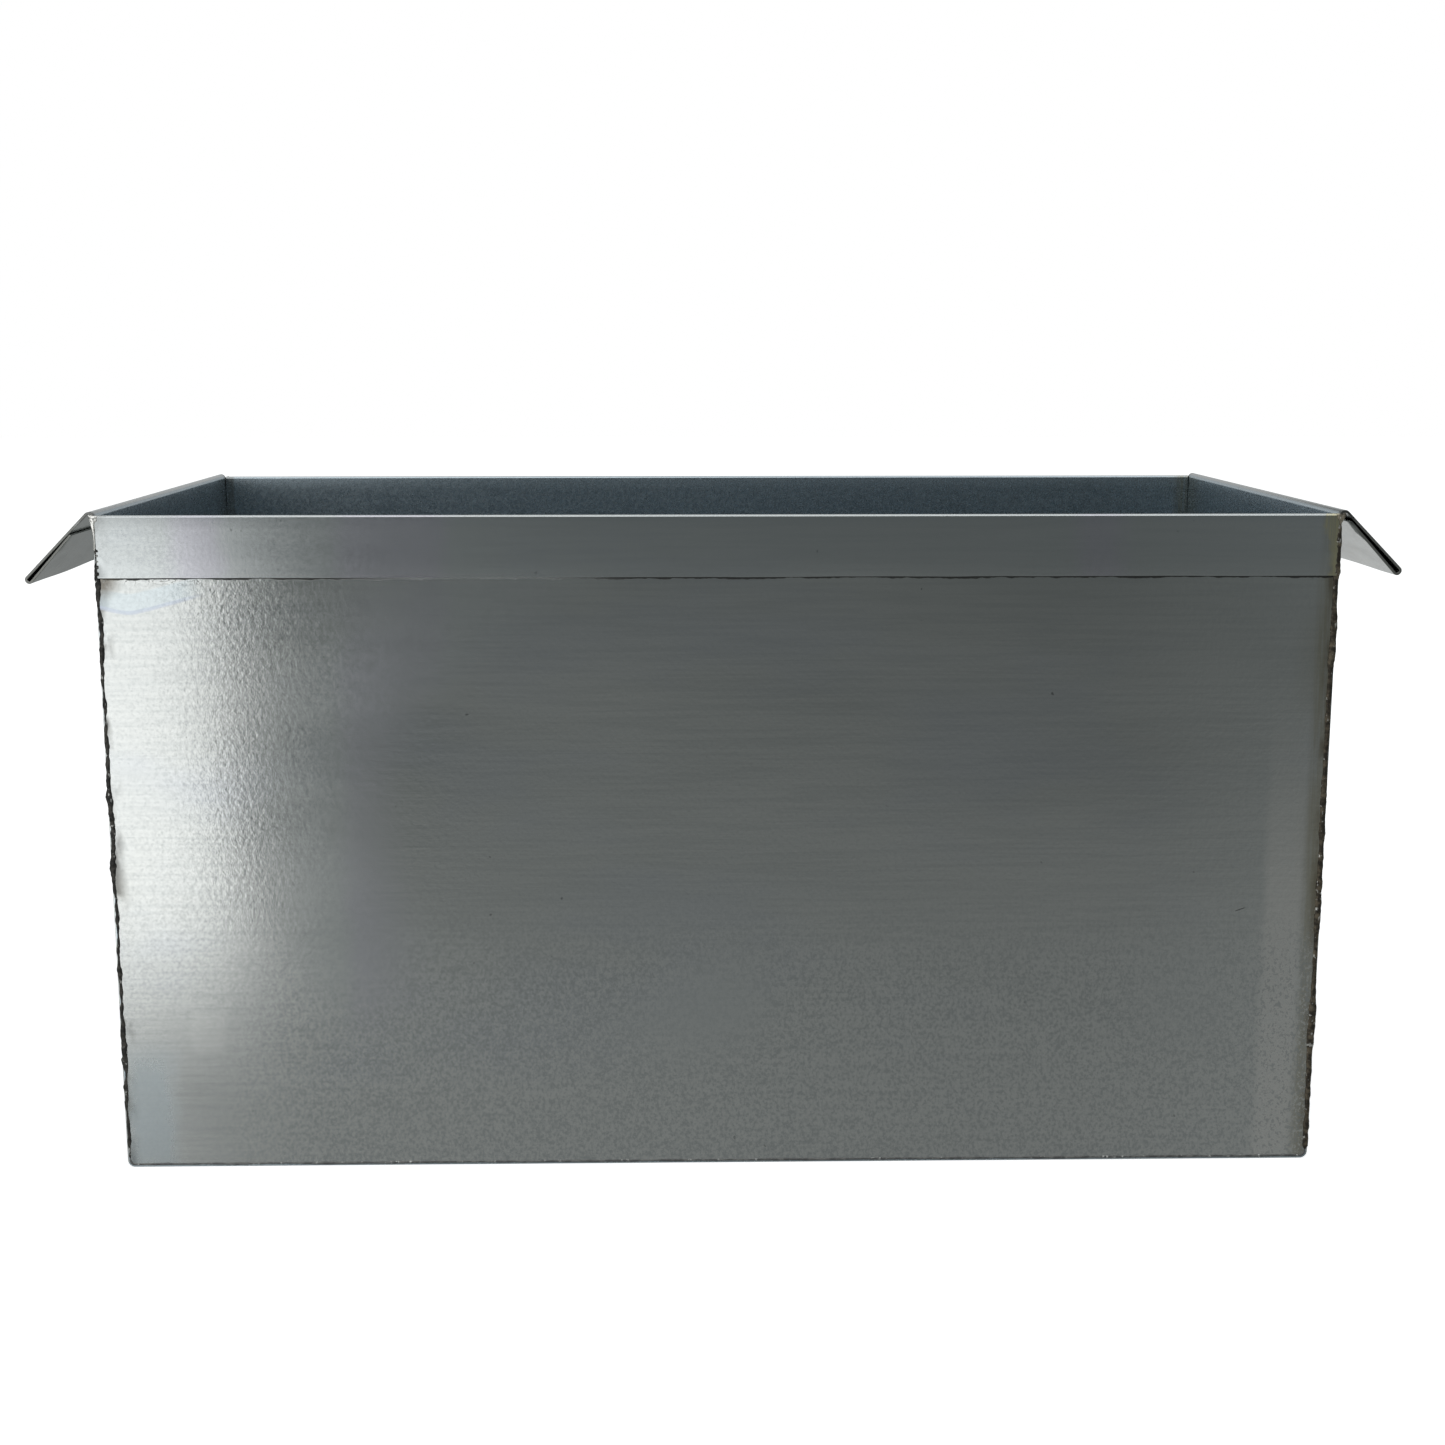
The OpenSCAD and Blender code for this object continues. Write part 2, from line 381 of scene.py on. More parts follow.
def floor_seam(name, facing, seed):
    """The weld along a panel's foot, turning up round both floor bends."""
    low, start = SHEET + SEAM_GAP / 2, SHEET + FLOOR_BEND + 0.9 * MM
    radius = FLOOR_BEND - SEAM_GAP / 2
    corners = [
        (-seam_half(start), start, 0),
        (-seam_half(low), low, radius),
        (seam_half(low), low, radius),
        (seam_half(start), start, 0),
    ]
    return bead(name, corners, facing, FLOOR_SEAM, seed)


def tack(name, side, facing, tail, seed):
    """A frozen drop of weld metal in the corner beside a hem's end, forked above and drawn out below."""
    z = RIM_Z - 2 * MM
    centre = Vector((side * (seam_half(z) + 0.5 * MM), facing * (HALF_DEPTH + 0.9 * MM), z))
    rings, sides = 20, 28
    verts, faces = [], []
    for i in range(rings + 1):
        tilt = math.pi * i / rings
        for k in range(sides if 0 < i < rings else 1):
            turn = 2 * math.pi * k / sides
            girth = math.sin(tilt)
            way = Vector((girth * math.cos(turn), girth * math.sin(turn), math.cos(tilt)))
            spread = 1 + 0.75 * smooth(0.1, 0.8, way.z) - 0.3 * smooth(0.3, 0.9, -way.z)
            fork = 1 + 0.35 * abs(way.x) * smooth(0, 0.7, way.z) - 0.55 * smooth(0.8, 1, way.z)
            drawn = 1 + (tail / TACK_SIZE[2] - 1) * max(0.0, -way.z) ** 6
            fine = way * 7 + Vector((seed, 0, 0))
            lump = 1 + 0.22 * wave(way.x * 2.2 + seed, way.y * 2.2, way.z * 2.2) + 0.08 * wave(*fine)
            size = Vector(TACK_SIZE) * lump
            front = math.copysign(abs(way.y) ** 0.5, way.y)
            leant = -side * LEAN * max(0.0, -way.z * size.z * drawn)
            spot = Vector((way.x * size.x * spread + leant, front * size.y, way.z * size.z * drawn * fork))
            verts.append(centre + spot)

    def at(i, k):
        return 1 + (i - 1) * sides + k % sides

    for k in range(sides):
        faces.append((0, at(1, k), at(1, k + 1)))
        faces.append((at(rings - 1, k + 1), at(rings - 1, k), len(verts) - 1))
        for i in range(1, rings - 1):
            faces.append((at(i, k), at(i + 1, k), at(i + 1, k + 1), at(i, k + 1)))
    return make_object(name, verts, faces, math.radians(80))


# ---------------------------------------------------------------- material helpers

def add_node(tree, kind, inputs=None, **settings):
    """A new node, with its settings, and its inputs as another node's output or as a constant."""
    made = tree.nodes.new(kind)
    for key, value in settings.items():
        setattr(made, key, value)
    for key, value in (inputs or {}).items():
        if isinstance(value, bpy.types.NodeSocket):
            tree.links.new(value, made.inputs[key])
        else:
            made.inputs[key].default_value = value
    return made


class Surface:
    """A node material under construction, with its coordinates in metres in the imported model's frame."""

    def __init__(self, name):
        self.material = bpy.data.materials.new(name)
        self.material.use_nodes = True
        self.tree = self.material.node_tree
        self.tree.nodes.clear()
        self.place = self.add("ShaderNodeTexCoord").outputs["Object"]
        split = self.add("ShaderNodeSeparateXYZ", {"Vector": self.place})
        self.x, self.y, self.z = (split.outputs[axis] for axis in "XYZ")

    def add(self, kind, inputs=None, **settings):
        return add_node(self.tree, kind, inputs, **settings)

    def math(self, operation, first, second=0.0):
        return self.add("ShaderNodeMath", {0: first, 1: second}, operation=operation).outputs[0]

    def noise(self, per_metre, detail=2.0, roughness=0.5, shift=(0, 0, 0)):
        """Noise with its own number of waves per metre along X, Y and Z."""
        inputs = {"Vector": self.place, "Scale": per_metre, "Location": shift}
        mapped = self.add("ShaderNodeMapping", inputs).outputs[0]
        inputs = {"Vector": mapped, "Scale": 1.0, "Detail": detail, "Roughness": roughness}
        return self.add("ShaderNodeTexNoise", inputs).outputs[0]

    def ramp(self, value, low, high, out_low=0.0, out_high=1.0):
        """A soft step: out_low below low, out_high above high."""
        inputs = {"Value": value, "From Min": low, "From Max": high, "To Min": out_low, "To Max": out_high}
        return self.add("ShaderNodeMapRange", inputs, interpolation_type="SMOOTHSTEP").outputs[0]

    def mix(self, share, first, second):
        """A colour between two others. The node's colour sockets come after its number and vector ones."""
        return self.add("ShaderNodeMix", {0: share, 6: first, 7: second}, data_type="RGBA").outputs[2]

    def distance(self, first, second):
        """How far a point is from the origin, from two lengths at right angles."""
        squares = self.math("ADD", self.product(first, first), self.product(second, second))
        return self.math("SQRT", squares)

    def product(self, *values):
        result = values[0]
        for value in values[1:]:
            result = self.math("MULTIPLY", result, value)
        return result

    def patch(self, axis, low, high, soft):
        """1 between low and high along a coordinate, fading over soft outside them."""
        rise = self.ramp(axis, low - soft, low)
        return self.product(rise, self.ramp(axis, high, high + soft, 1.0, 0.0))

    def finish(self, colour, roughness, metallic, heights):
        """heights are (value, depth in metres) pairs for bump."""
        normal = None
        for value, depth in heights:
            inputs = {"Height": value, "Distance": depth, "Strength": 1.0}
            if normal is not None:
                inputs["Normal"] = normal
            normal = self.add("ShaderNodeBump", inputs).outputs[0]
        inputs = {"Base Color": colour, "Roughness": roughness, "Metallic": metallic, "Normal": normal}
        shader = self.add("ShaderNodeBsdfPrincipled", inputs)
        self.add("ShaderNodeOutputMaterial", {"Surface": shader.outputs[0]})
        return self.material


def tone(r, g, b):
    return (r, g, b, 1.0)


ZINC_LIGHT = tone(0.665, 0.68, 0.665)
ZINC_MID = tone(0.575, 0.595, 0.585)
ZINC_DULL = tone(0.46, 0.485, 0.485)
ZINC_BLUE = tone(0.50, 0.54, 0.63)
ZINC_LILAC = tone(0.58, 0.555, 0.64)
ZINC_CYAN = tone(0.52, 0.60, 0.64)
ZINC_INNER_PAINTED_SHADE = tone(0.455, 0.55, 0.615)
ZINC_HEM_PAINTED_SHADE = tone(0.505, 0.545, 0.56)
HEAT_BROWN = tone(0.20, 0.165, 0.11)
HEAT_STRAW = tone(0.40, 0.37, 0.27)
OLIVE = tone(0.72, 0.66, 0.38)
SOOT = tone(0.10, 0.098, 0.09)
DIRT_AND_SHADE = tone(0.05, 0.05, 0.048)
SCUFFED = tone(0.62, 0.61, 0.58)
WIPED = tone(0.80, 0.79, 0.76)


def galvanised(name, roll, across, inside, marks):
    """Rolled galvanised sheet. roll and across are 1 along the axes that the rolling lines run and cross,
    inside gives the share that faces the water, which is painted darker and bluer as shade, and marks
    adds what happened to this sheet, with painted shade and a painted highlight at a panel's hem."""

    def stretched(fine, long):
        return tuple(fine * a + long * r for a, r in zip(across, roll))

    s = Surface(name)
    cloud = s.noise(stretched(16, 5), 3, 0.55)
    streak = s.noise(stretched(520, 18), 2, 0.6)
    hairline = s.noise(stretched(1500, 40), 1, 0.5, (3, 1, 7))
    grain = s.noise((620, 620, 620), 3, 0.65)
    speck = s.noise((200, 200, 200), 2, 0.5, (8, 3, 1))
    colour = s.mix(s.ramp(cloud, 0.3, 0.7, 0.25, 0.75), ZINC_MID, ZINC_LIGHT)
    colour = s.mix(s.product(s.ramp(streak, 0.40, 0.66), 0.24), colour, ZINC_DULL)
    colour = s.mix(s.product(s.ramp(grain, 0.46, 0.72), 0.3), colour, ZINC_DULL)
    bloom = s.ramp(s.noise(stretched(14, 6), 3, 0.6, (4, 9, 2)), 0.5, 0.7)
    colour = s.mix(s.product(bloom, 0.2), colour, ZINC_BLUE)
    colour = s.mix(s.product(s.ramp(speck, 0.755, 0.77), 0.5), colour, DIRT_AND_SHADE)
    # Inner faces are painted darker and bluer: painted shade and painted reflection of the tub's own
    # inside
    colour = s.mix(s.product(inside(s), 0.75), colour, ZINC_INNER_PAINTED_SHADE)
    clouded, grained = s.ramp(cloud, 0.3, 0.7, 0.125, 0.155), s.ramp(grain, 0.3, 0.7, -0.02, 0.03)
    roughness = s.math("ADD", clouded, grained)
    roughness = s.math("ADD", roughness, s.product(inside(s), s.ramp(grain, 0.3, 0.7, 0.10, 0.14)))
    colour, roughness, peeled = marks(s, colour, roughness)
    peel = s.product(s.noise((500, 500, 470), 2, 0.5, (1, 5, 2)), peeled)
    heights = [(peel, 0.030 * MM), (streak, 0.009 * MM), (hairline, 0.003 * MM), (grain, 0.006 * MM)]
    return s.finish(colour, roughness, 1.0, heights)


def panel_inside(s):
    return s.ramp(s.math("ABSOLUTE", s.y), HALF_DEPTH - SHEET * 0.7, HALF_DEPTH - SHEET * 0.4, 1.0, 0.0)


def strip_inside(s):
    return s.ramp(seam_distance(s), -SHEET * 0.7, -SHEET * 0.4)


def seam_distance(s):
    """How far in from the end seams a point is, in metres, at its own height."""
    wall = s.math("ADD", s.math("MULTIPLY", s.z, LEAN), seam_half(0))
    return s.math("SUBTRACT", wall, s.math("ABSOLUTE", s.x))


def hem_share(s):
    """1 on a hem's turned-down layer, which stands outside the panel's own sheet."""
    return s.ramp(s.math("ABSOLUTE", s.y), HALF_DEPTH + 0.05 * MM, HALF_DEPTH + 0.25 * MM)


def panel_marks(s, colour, roughness):
    """What both panels carry: heat tints beside the seams, painted shade in the crevice under the hem, a
    painted highlight on the hem's cut edge, and painted shade on the hem itself.
    """
    inward = seam_distance(s)
    hem = hem_share(s)
    wet = panel_inside(s)
    dry = s.math("SUBTRACT", 1.0, wet)
    body = s.math("SUBTRACT", dry, hem)
    right = s.ramp(s.x, -0.05, 0.05)
    left = s.math("SUBTRACT", 1.0, right)
    broken = s.noise((60, 60, 30), 3, 0.6, (2, 2, 6))
    lines = s.noise((900, 60, 26), 2, 0.6, (5, 1, 3))
    # Soot in soft patches beside the left seams
    near = s.ramp(inward, 0.0006, 0.0075, 1.0, 0.0)
    soot = s.product(dry, left, near, s.ramp(broken, 0.44, 0.60))
    colour = s.mix(s.product(soot, 0.8), colour, SOOT)
    # Olive and brown bands, drawn out in thin upright lines, beside the right ones
    near = s.ramp(inward, 0.005, 0.010, 1.0, 0.0)
    olive = s.product(right, near, s.ramp(lines, 0.30, 0.62, 0.35, 1.0))
    colour = s.mix(s.product(olive, 0.62), colour, HEAT_STRAW)
    near = s.ramp(inward, 0.002, 0.0055, 1.0, 0.0)
    brown = s.product(dry, right, near, s.ramp(broken, 0.36, 0.62))
    colour = s.mix(s.product(brown, 0.7), colour, HEAT_BROWN)
    near = s.ramp(inward, 0.004, 0.022, 1.0, 0.0)
    wide = s.product(near, s.ramp(s.noise((20, 20, 12), 2), 0.4, 0.65))
    colour = s.mix(s.product(wide, 0.25), colour, HEAT_STRAW)
    # A narrow brown band on the inner side of the left seams
    near = s.patch(inward, 0.001, 0.004, 2 * MM)
    scald = s.product(wet, left, near, s.ramp(broken, 0.2, 0.5, 0.5, 1.0))
    colour = s.mix(s.product(scald, 0.45), colour, HEAT_BROWN)
    # Painted shade in the crevice under the hem, thicker in some places than in others, and a painted
    # highlight on the hem's cut edge above it
    sag = s.ramp(s.noise((70, 1, 1), 3, 0.7, (1, 4, 4)), 0.35, 0.7, 0.5 * MM, 1.5 * MM)
    depth = s.math("SUBTRACT", HEM_FOOT, s.z)
    above_sag = s.ramp(s.math("SUBTRACT", sag, depth), -0.2 * MM, 0.2 * MM)
    painted_crevice_shade = s.product(body, above_sag, s.ramp(depth, -1 * MM, -0.5 * MM))
    colour = s.mix(s.product(painted_crevice_shade, 0.92), colour, DIRT_AND_SHADE)
    roughness = s.math("ADD", roughness, s.product(painted_crevice_shade, 0.4))
    # Painted highlight: a thin band along the hem's cut edge is drawn lighter
    cut = s.product(hem, s.ramp(s.z, HEM_FOOT + 0.15 * MM, HEM_FOOT + 0.5 * MM, 1.0, 0.0))
    colour = s.mix(s.product(cut, 0.7), colour, ZINC_LIGHT)
    # The hem's layer is painted darker and bluer than the panel: painted shade for the different light its
    # face catches
    colour = s.mix(s.product(hem, 0.45), colour, ZINC_HEM_PAINTED_SHADE)
    return colour, roughness, s.ramp(hem, 0, 1, 0.75, 0.3)


def front_marks(s, colour, roughness):
    """The marks that only the front panel has."""
    colour, roughness, peeled = panel_marks(s, colour, roughness)
    hem = hem_share(s)
    body = s.math("SUBTRACT", s.math("SUBTRACT", 1.0, hem), panel_inside(s))
    # Edges of marks wander, so that none of them is a plain rectangle
    centred = s.math("SUBTRACT", s.noise((55, 55, 55), 3, 0.6, (3, 7, 1)), 0.5)
    drift = s.math("MULTIPLY", centred, 14 * MM)
    x = s.math("ADD", s.x, drift)
    z = s.math("ADD", s.z, s.math("MULTIPLY", drift, 0.5))
    # Olive heat tint over the hem's right end, lilac patches further in along the hem
    fibres = s.ramp(s.noise((800, 60, 30), 2, 0.6, (5, 2, 3)), 0.35, 0.6, 0.4, 1.0)
    olive = s.product(hem, s.patch(x, 0.2945, 0.300, 3 * MM), fibres)
    colour = s.mix(s.product(olive, 0.75), colour, OLIVE)
    for centre, half in ((-0.250, 0.004), (-0.158, 0.018), (0.183, 0.004)):
        lilac = s.product(hem, s.patch(x, centre - half, centre + half, 14 * MM))
        colour = s.mix(s.product(lilac, 0.45), colour, ZINC_LILAC)
    roughness = s.math("ADD", roughness, s.product(hem, 0.05))
    # A tide mark under the hem near the left corner: a bowed dark line, paler and bluer above it
    along_hem = s.math("ADD", s.x, 0.2847)
    rounded_off = s.math("SQRT", s.math("ADD", s.product(along_hem, along_hem), (4 * MM) ** 2))
    bow = s.math("MULTIPLY", rounded_off, 0.27)
    height = s.math("ADD", s.z, s.math("MULTIPLY", drift, 0.12))
    tide = s.math("SUBTRACT", height, s.math("ADD", bow, 0.2765))
    reach = s.product(body, s.patch(s.x, -0.2985, -0.262, 16 * MM))
    line = s.product(reach, s.patch(tide, 0, 1.1 * MM, 0.8 * MM))
    colour = s.mix(s.product(reach, s.patch(tide, 1 * MM, 9 * MM, 1.5 * MM), 0.5), colour, ZINC_CYAN)
    colour = s.mix(s.product(line, 0.5), colour, tone(0.42, 0.46, 0.56))
    # Scorching in that corner, and dark curls under the hem beside it
    aside, below = s.math("ADD", s.x, 0.2985), s.math("SUBTRACT", HEM_FOOT, s.z)
    from_corner = s.distance(aside, below)
    smoke = s.noise((150, 150, 150), 3, 0.65)
    scorch = s.product(body, s.ramp(from_corner, 4 * MM, 14 * MM, 1.0, 0.0), s.ramp(smoke, 0.28, 0.52))
    colour = s.mix(s.product(scorch, 0.85), colour, tone(0.17, 0.155, 0.13))
    centred = s.math("SUBTRACT", s.noise((240, 240, 300), 2, 0.5, (7, 2, 9)), 0.5)
    contour = s.ramp(s.math("ABSOLUTE", centred), 0.008, 0.03, 1.0, 0.0)
    fading = s.ramp(below, 1 * MM, 5 * MM, 1.0, 0.0)
    curls = s.product(body, contour, fading, s.patch(s.x, -0.300, -0.252, 8 * MM))
    colour = s.mix(s.product(curls, 0.6), colour, SOOT)
    # A wiped strip that leans with the right seam, and a duller and a cleaner patch low on the left
    inward = s.math("ADD", seam_distance(s), s.math("MULTIPLY", drift, 0.35))
    strip = s.product(body, s.patch(inward, 0.011, 0.024, 6 * MM), s.ramp(s.z, 0.10, 0.26, 1.0, 0.0))
    colour = s.mix(s.product(strip, s.ramp(s.x, 0, 0.1), 0.75), colour, WIPED)
    dulled = s.product(s.patch(x, -0.288, -0.278, 12 * MM), s.patch(z, 0.010, 0.045, 25 * MM))
    colour = s.mix(s.product(dulled, 0.6), colour, ZINC_CYAN)
    roughness = s.math("ADD", roughness, s.product(dulled, 0.12))
    clean = s.product(s.patch(x, -0.260, -0.247, 4 * MM), s.patch(z, 0.060, 0.078, 4 * MM))
    colour = s.mix(s.product(clean, 0.7), colour, ZINC_LIGHT)
    # The lower part is coarsely mottled, light and dark
    low = s.product(body, s.ramp(s.z, 0.085, 0.150, 1.0, 0.0))
    mottled = s.product(low, s.ramp(s.x, -0.265, -0.190, 0.15, 1.0))
    spots = s.noise((620, 620, 520), 3, 0.75, (5, 5, 5))
    colour = s.mix(s.product(mottled, s.ramp(spots, 0.50, 0.60), 0.75), colour, ZINC_DULL)
    colour = s.mix(s.product(mottled, s.ramp(spots, 0.40, 0.48, 1.0, 0.0), 0.85), colour, ZINC_LIGHT)
    roughness = s.math("ADD", roughness, s.product(low, 0.05))
    # One short scratch
    slope = s.math("ADD", s.z, s.math("MULTIPLY", s.x, -0.35))
    along_scratch = s.patch(s.x, 0.2555, 0.2595, 0.5 * MM)
    scratch = s.product(along_scratch, s.patch(slope, 0.0388, 0.0390, 0.25 * MM))
    colour = s.mix(s.product(scratch, 0.8), colour, DIRT_AND_SHADE)
    # Orange peel is strongest in a zone at the upper left
    hammered = s.product(body, s.patch(x, -0.235, -0.140, 40 * MM), s.patch(s.z, 0.150, 0.280, 60 * MM))
    peeled = s.math("ADD", s.math("SUBTRACT", peeled, s.product(low, 0.62)), s.product(hammered, 0.6))
    return colour, roughness, peeled


def strip_marks(s, colour, roughness):
    """Scuffs and smears on the hand lips, where they are gripped, and their dull cut ends."""
    lip = s.ramp(s.math("ABSOLUTE", s.x), 0.304, 0.310)
    scuff = s.product(lip, s.ramp(s.noise((500, 60, 500), 2, 0.6, (6, 2, 2)), 0.54, 0.62))
    colour = s.mix(s.product(scuff, 0.5), colour, SCUFFED)
    smear = s.product(lip, s.ramp(s.noise((90, 25, 90), 3, 0.6, (1, 8, 3)), 0.42, 0.72))
    colour = s.mix(s.product(smear, 0.22), colour, SOOT)
    # The cut ends, with scorching beside the tacks
    cut = s.product(lip, s.ramp(s.math("ABSOLUTE", s.y), HALF_DEPTH - 0.5 * MM, HALF_DEPTH - 0.2 * MM))
    colour = s.mix(s.product(cut, 0.8), colour, tone(0.2, 0.2, 0.18))
    roughness = s.math("ADD", roughness, s.product(cut, 0.3))
    aside = s.math("SUBTRACT", s.math("ABSOLUTE", s.x), RIM_HALF + 3 * MM)
    below = s.math("SUBTRACT", RIM_Z - 2 * MM, s.z)
    from_tack = s.distance(aside, below)
    end = s.ramp(s.math("ABSOLUTE", s.y), HALF_DEPTH - 5 * MM, HALF_DEPTH - 1 * MM)
    burnt = s.product(end, s.ramp(from_tack, 3 * MM, 8 * MM, 1.0, 0.0))
    colour = s.mix(s.product(burnt, 0.85), colour, SOOT)
    return colour, roughness, 0.6


def scorched(name, dark, brown, glint, dullest=0.66):
    """Weld metal: oxide-dark, with brown patches and bright flecks where slag has come off."""
    s = Surface(name)
    lump = s.noise((260, 260, 260), 3, 0.6)
    fleck = s.noise((520, 520, 330), 2, 0.5, (9, 1, 4))
    colour = s.mix(s.ramp(lump, 0.4, 0.66), dark, brown)
    bright = s.ramp(fleck, 0.62, 0.67)
    colour = s.mix(bright, colour, glint)
    dull = s.ramp(lump, 0.3, 0.7, dullest - 0.16, dullest)
    roughness = s.math("SUBTRACT", dull, s.product(bright, dullest / 2))
    return s.finish(colour, roughness, 0.75, [(lump, 0.15 * MM), (fleck, 0.05 * MM)])


# ---------------------------------------------------------------- stage, light and camera

def stage_floor():
    """A wide pale floor that takes the trough's shadow and isn't mirrored in its sides. It glows more
    further off, so that it meets the white background without a horizon."""
    side = STAGE_CELLS + 1
    lines = [-STAGE_HALF + 2 * STAGE_HALF * i / STAGE_CELLS for i in range(side)]
    verts = [(x, y, 0) for x in lines for y in lines]
    faces = [
        (i * side + j, (i + 1) * side + j, (i + 1) * side + j + 1, i * side + j + 1)
        for i in range(STAGE_CELLS) for j in range(STAGE_CELLS)
    ]
    made = make_object("studio_floor", verts, faces)
    s = Surface("pale_floor")
    cloud = s.noise((3, 3, 3), 2)
    colour = s.mix(s.ramp(cloud, 0.3, 0.7), tone(0.86, 0.86, 0.86), tone(0.9, 0.9, 0.9))
    glow = s.ramp(s.distance(s.x, s.y), 0.3, 2.2, 0.74, 1.0)
    inputs = {"Base Color": colour, "Roughness": 0.9}
    inputs.update({"Emission Color": tone(1, 1, 1), "Emission Strength": glow})
    shader = s.add("ShaderNodeBsdfPrincipled", inputs)
    s.add("ShaderNodeOutputMaterial", {"Surface": shader.outputs[0]})
    made.data.materials.append(s.material)
    made.location.z = -STAGE_DROP
    made.visible_glossy = False
    made.visible_diffuse = False
    made.visible_shadow = False


def studio_world():
    """White behind the trough, and a dim room around it for it to reflect, lighter below than above."""
    world = bpy.data.worlds.new("studio")
    bpy.context.scene.world = world
    world.use_nodes = True
    tree = world.node_tree
    tree.nodes.clear()
    way = add_node(tree, "ShaderNodeTexCoord").outputs["Generated"]
    split = add_node(tree, "ShaderNodeSeparateXYZ", {"Vector": way}).outputs
    height = add_node(tree, "ShaderNodeMapRange", {"Value": split["Z"], "From Min": -1.0, "From Max": 1.0})
    ramp = add_node(tree, "ShaderNodeValToRGB", {0: height.outputs[0]})
    # From straight down at 0 to straight up at 1, with the level at 0.5
    steps = [
        (0.0, (0.25, 0.26, 0.257)), (0.335, (0.262, 0.272, 0.269)), (0.365, (0.238, 0.248, 0.245)),
        (0.405, (0.182, 0.191, 0.189)), (0.44, (0.126, 0.135, 0.134)), (0.465, (0.150, 0.162, 0.163)),
        (0.52, (0.115, 0.127, 0.130)), (1.0, (0.13, 0.145, 0.15)),
    ]
    elements = ramp.color_ramp.elements
    while len(elements) < len(steps):
        elements.new(0.5)
    for element, (place, colour) in zip(elements, steps):
        element.position = place
        element.color = (*colour, 1)
    # Brighter towards the left, and again at the far right
    inputs = {"Value": split["X"], "From Min": -0.25, "From Max": 0.20, "To Min": 1.2, "To Max": 0.82}
    leftward = add_node(tree, "ShaderNodeMapRange", inputs)
    inputs = {"Value": split["X"], "From Min": 0.19, "From Max": 0.28, "To Min": 0.0, "To Max": 0.3}
    far_right = add_node(tree, "ShaderNodeMapRange", inputs)
    strength = add_node(tree, "ShaderNodeMath", {0: leftward.outputs[0], 1: far_right.outputs[0]})
    inputs = {"Color": ramp.outputs[0], "Strength": strength.outputs[0]}
    room = add_node(tree, "ShaderNodeBackground", inputs)
    white = add_node(tree, "ShaderNodeBackground", {"Color": tone(1, 1, 1)})
    seen = add_node(tree, "ShaderNodeLightPath").outputs["Is Camera Ray"]
    inputs = {0: seen, 1: room.outputs[0], 2: white.outputs[0]}
    either = add_node(tree, "ShaderNodeMixShader", inputs)
    add_node(tree, "ShaderNodeOutputWorld", {"Surface": either.outputs[0]})


def softbox(name, place, target, size, radiance):
    """A rectangular light at place, turned to target. radiance is what a mirror would show of it."""
    data = bpy.data.lights.new(name, "AREA")
    data.shape = "RECTANGLE"
    data.size, data.size_y = size
    data.energy = radiance * math.pi * size[0] * size[1]
    made = bpy.data.objects.new(name, data)
    made.location = place
    made.rotation_euler = (Vector(target) - Vector(place)).to_track_quat("-Z", "Y").to_euler()
    made.visible_camera = False
    bpy.context.scene.collection.objects.link(made)


def camera():
    data = bpy.data.cameras.new("camera")
    data.sensor_width = SENSOR
    data.lens = LENS
    made = bpy.data.objects.new("camera", data)
    made.location = CAMERA_PLACE
    made.rotation_euler = Euler((math.pi / 2 - LOOK_DOWN, 0, -LOOK_RIGHT))
    bpy.context.scene.collection.objects.link(made)
    bpy.context.scene.camera = made


# ---------------------------------------------------------------- assembly

def fit(piece, material, slot, *nodes):
    """Gives a piece its material and body, and lets it stand for CAD nodes."""
    piece.data.materials.append(material)
    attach(piece, "root")
    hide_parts(*nodes)


camera()
studio_world()
stage_floor()
softbox("window_left", (-1.08, -1.25, 0.0025), (-1.08, 0, 0.0025), (1.24, 0.475), 1.25)
softbox("window_upper", (-1.10, -1.25, 0.72), (-1.10, 0, 0.72), (1.24, 0.96), 0.8)
softbox("window_lower", (-1.10, -1.25, -0.37), (-1.10, 0, -0.37), (1.14, 0.27), 0.3)
softbox("overhead", (0.1, 0.1, 1.7), (0.1, 0.1, 0), (1.8, 1.2), 1.0)
softbox("rear_wall", (0.0, 2.6, 0.62), (0.0, 0, 0.62), (4.2, 0.95), 0.36)
softbox("rear_low", (0.80, 2.6, -0.45), (0.80, 0, -0.45), (1.0, 0.8), 0.34)
softbox("sky_front", (0.0, -1.7, 2.1), (0.0, 0, 0.3), (3.0, 1.6), 1.1)
softbox("rear_left", (-1.6, 1.9, 0.8), (0, 0, 0.15), (1.2, 1.4), 0.9)
softbox("rear_right", (2.0, 1.5, 0.7), (0, 0, 0.15), (0.9, 1.4), 0.7)

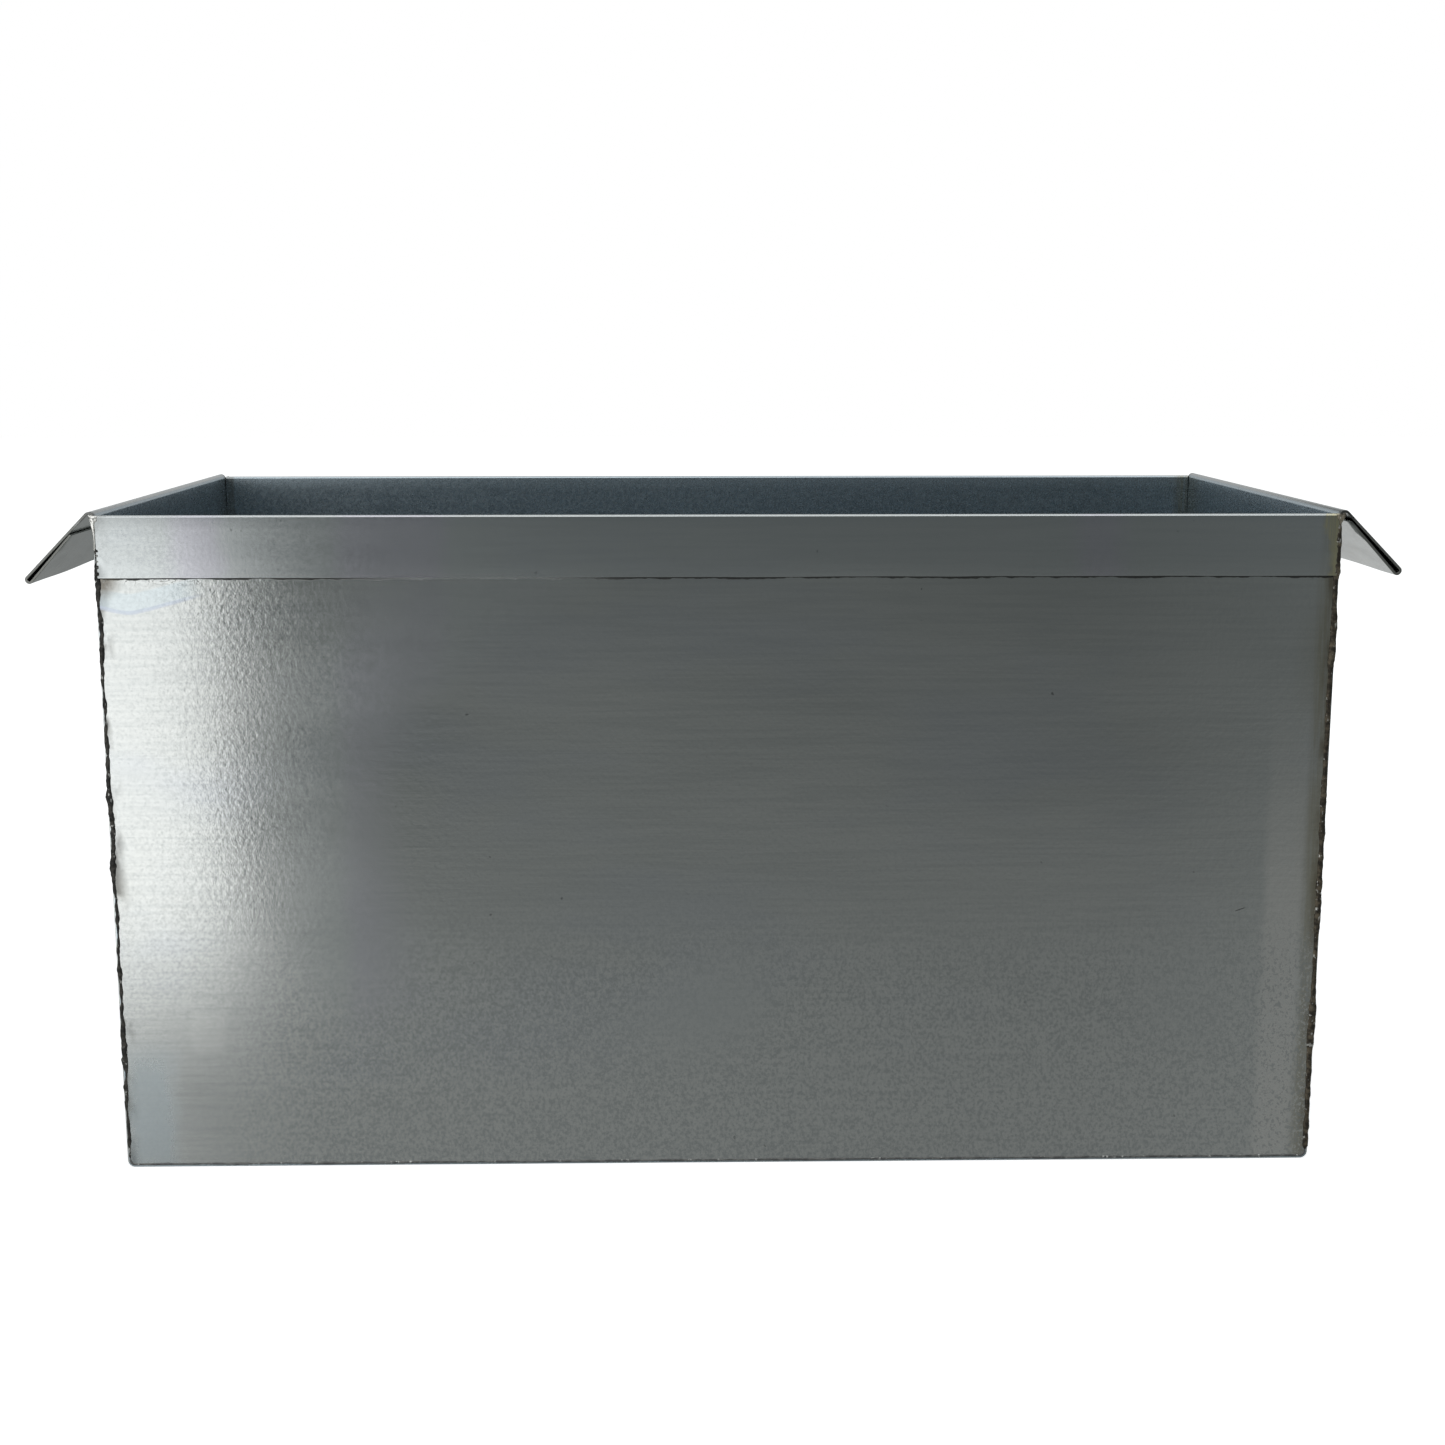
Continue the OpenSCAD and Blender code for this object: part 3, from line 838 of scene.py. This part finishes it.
panel_zinc = galvanised("galvanised_front", (1, 0, 0), (0, 1, 1), panel_inside, front_marks)
rear_zinc = galvanised("galvanised_rear", (1, 0, 0), (0, 1, 1), panel_inside, panel_marks)
strip_zinc = galvanised("galvanised_strip", (1, 0, 1), (0, 1, 0), strip_inside, strip_marks)
black_metal = scorched(
    "scorched_weld", tone(0.045, 0.044, 0.042), tone(0.12, 0.112, 0.10), tone(0.6, 0.6, 0.57))
brown_metal = scorched(
    "browned_weld", tone(0.06, 0.052, 0.042), tone(0.22, 0.185, 0.135), tone(0.6, 0.59, 0.55))
floor_metal = scorched(
    "floor_weld", tone(0.16, 0.16, 0.16), tone(0.30, 0.30, 0.29), tone(0.6, 0.6, 0.58))
# The left drops' near-white colour is a painted highlight; their low roughness is real gloss
tack_highlight_metal = scorched(
    "tack_painted_highlight", tone(0.90, 0.88, 0.83), tone(0.98, 0.97, 0.93), tone(0.99, 0.98, 0.95), 0.36)
dull_metal = scorched(
    "dull_tack", tone(0.16, 0.145, 0.12), tone(0.40, 0.36, 0.28), tone(0.93, 0.92, 0.88))
# Left runs are narrow, black and wandering, with long drops painted near-white as a highlight on glossy
# metal; right ones are broader and brown
sides = (
    ("left", -1, LEFT_SEAM, black_metal, tack_highlight_metal, LEFT_TAIL),
    ("right", 1, RIGHT_SEAM, brown_metal, dull_metal, RIGHT_TAIL),
)

fit(bent_strip(), strip_zinc, "galvanised_sheet", "end_and_floor_sheet")
fit(panel("front_sheet", -1, 11.3), panel_zinc, "galvanised_sheet", "front_panel")
fit(panel("rear_sheet", 1, 27.9), rear_zinc, "galvanised_sheet", "rear_panel")
for depth_name, facing in (("front", -1), ("rear", 1)):
    run = floor_seam(f"{depth_name}_floor_bead", facing, 5.5 + facing)
    fit(run, floor_metal, "seam_weld", f"{depth_name}_floor_weld")
    for side_name, side, seam, metal, drop_metal, tail in sides:
        corner = f"{depth_name}_{side_name}"
        seed = 3.1 * side + 8.7 * facing
        run = end_seam(f"{corner}_bead", side, facing, seam, seed)
        fit(run, metal, "seam_weld", f"{corner}_weld")
        drop = tack(f"{corner}_drop", side, facing, tail, seed)
        fit(drop, drop_metal, "tack_weld", f"{corner}_tack")

bpy.context.scene.view_settings.view_transform = "Standard"
